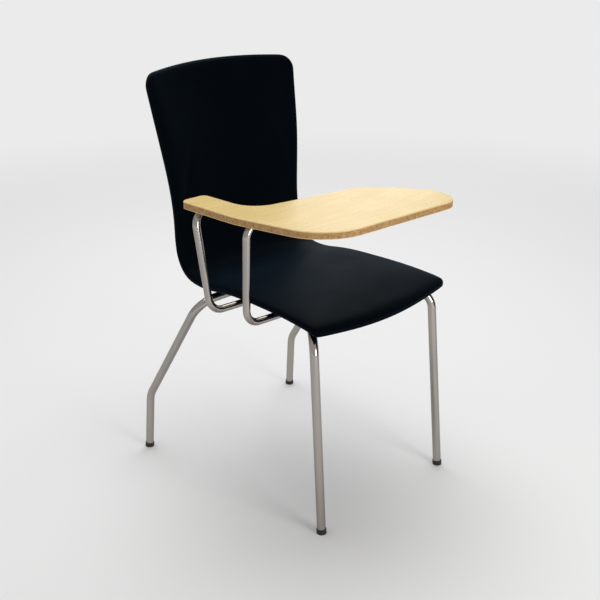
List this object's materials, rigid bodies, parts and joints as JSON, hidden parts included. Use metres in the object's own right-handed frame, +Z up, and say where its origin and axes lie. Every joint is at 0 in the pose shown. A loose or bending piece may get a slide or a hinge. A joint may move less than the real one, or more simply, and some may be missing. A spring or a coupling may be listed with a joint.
{
  "type": "tablet arm chair",
  "caption": "Stacking side chair with an upholstered one-piece curved shell on bent steel tube legs and a fixed writing tablet held by bent tubes beside the seat",
  "frame": {"origin": "the middle, seen from above, of the box around the whole chair, at floor height (z = 0)", "axes": "+Z up, the sitter faces -Y, the sitter's right side and the tablet are towards -X"},
  "size_m": [0.5284, 0.615, 0.87],
  "materials": {
    "tube_chrome": "satin chromed steel tube",
    "bracket_chrome": "satin chromed steel strip and small tube",
    "zinc_steel": "zinc plated fasteners",
    "black_plastic": "black moulded plastic",
    "black_leather": "black fine-grained upholstery leather with a soft sheen",
    "seat_foam": "thin upholstery foam, hidden under the cover",
    "shell_plywood": "moulded plywood, hidden under the covers",
    "tablet_core": "clear lacquered plywood edge",
    "beech_laminate": "pale beech pattern laminate, satin"
  },
  "bodies": {
    "root": {"arm_inserts": "zinc_steel", "arm_screws": "zinc_steel", "foam_pad": "seat_foam", "front_cover": "black_leather", "front_leg_frame": "tube_chrome", "glide_front_left": "black_plastic", "glide_front_right": "black_plastic", "glide_rear_left": "black_plastic", "glide_rear_right": "black_plastic", "plywood_shell": "shell_plywood", "rear_cover": "black_leather", "rear_leg_frame": "tube_chrome", "seat_rail_left": "bracket_chrome", "seat_rail_right": "bracket_chrome", "shell_lug_front_left": "bracket_chrome", "shell_lug_front_right": "bracket_chrome", "shell_lug_rear_left": "bracket_chrome", "shell_lug_rear_right": "bracket_chrome", "shell_screws": "zinc_steel", "shell_spacer_front_left": "black_plastic", "shell_spacer_front_right": "black_plastic", "shell_spacer_rear_left": "black_plastic", "shell_spacer_rear_right": "black_plastic", "tablet_backing": "beech_laminate", "tablet_board": "tablet_core", "tablet_facing": "beech_laminate", "tablet_plate": "bracket_chrome", "tablet_screws": "zinc_steel", "tablet_support_front": "tube_chrome", "tablet_support_rear": "tube_chrome", "tee_nuts": "zinc_steel", "tube_plugs": "black_plastic"}
  },
  "joints": []
}
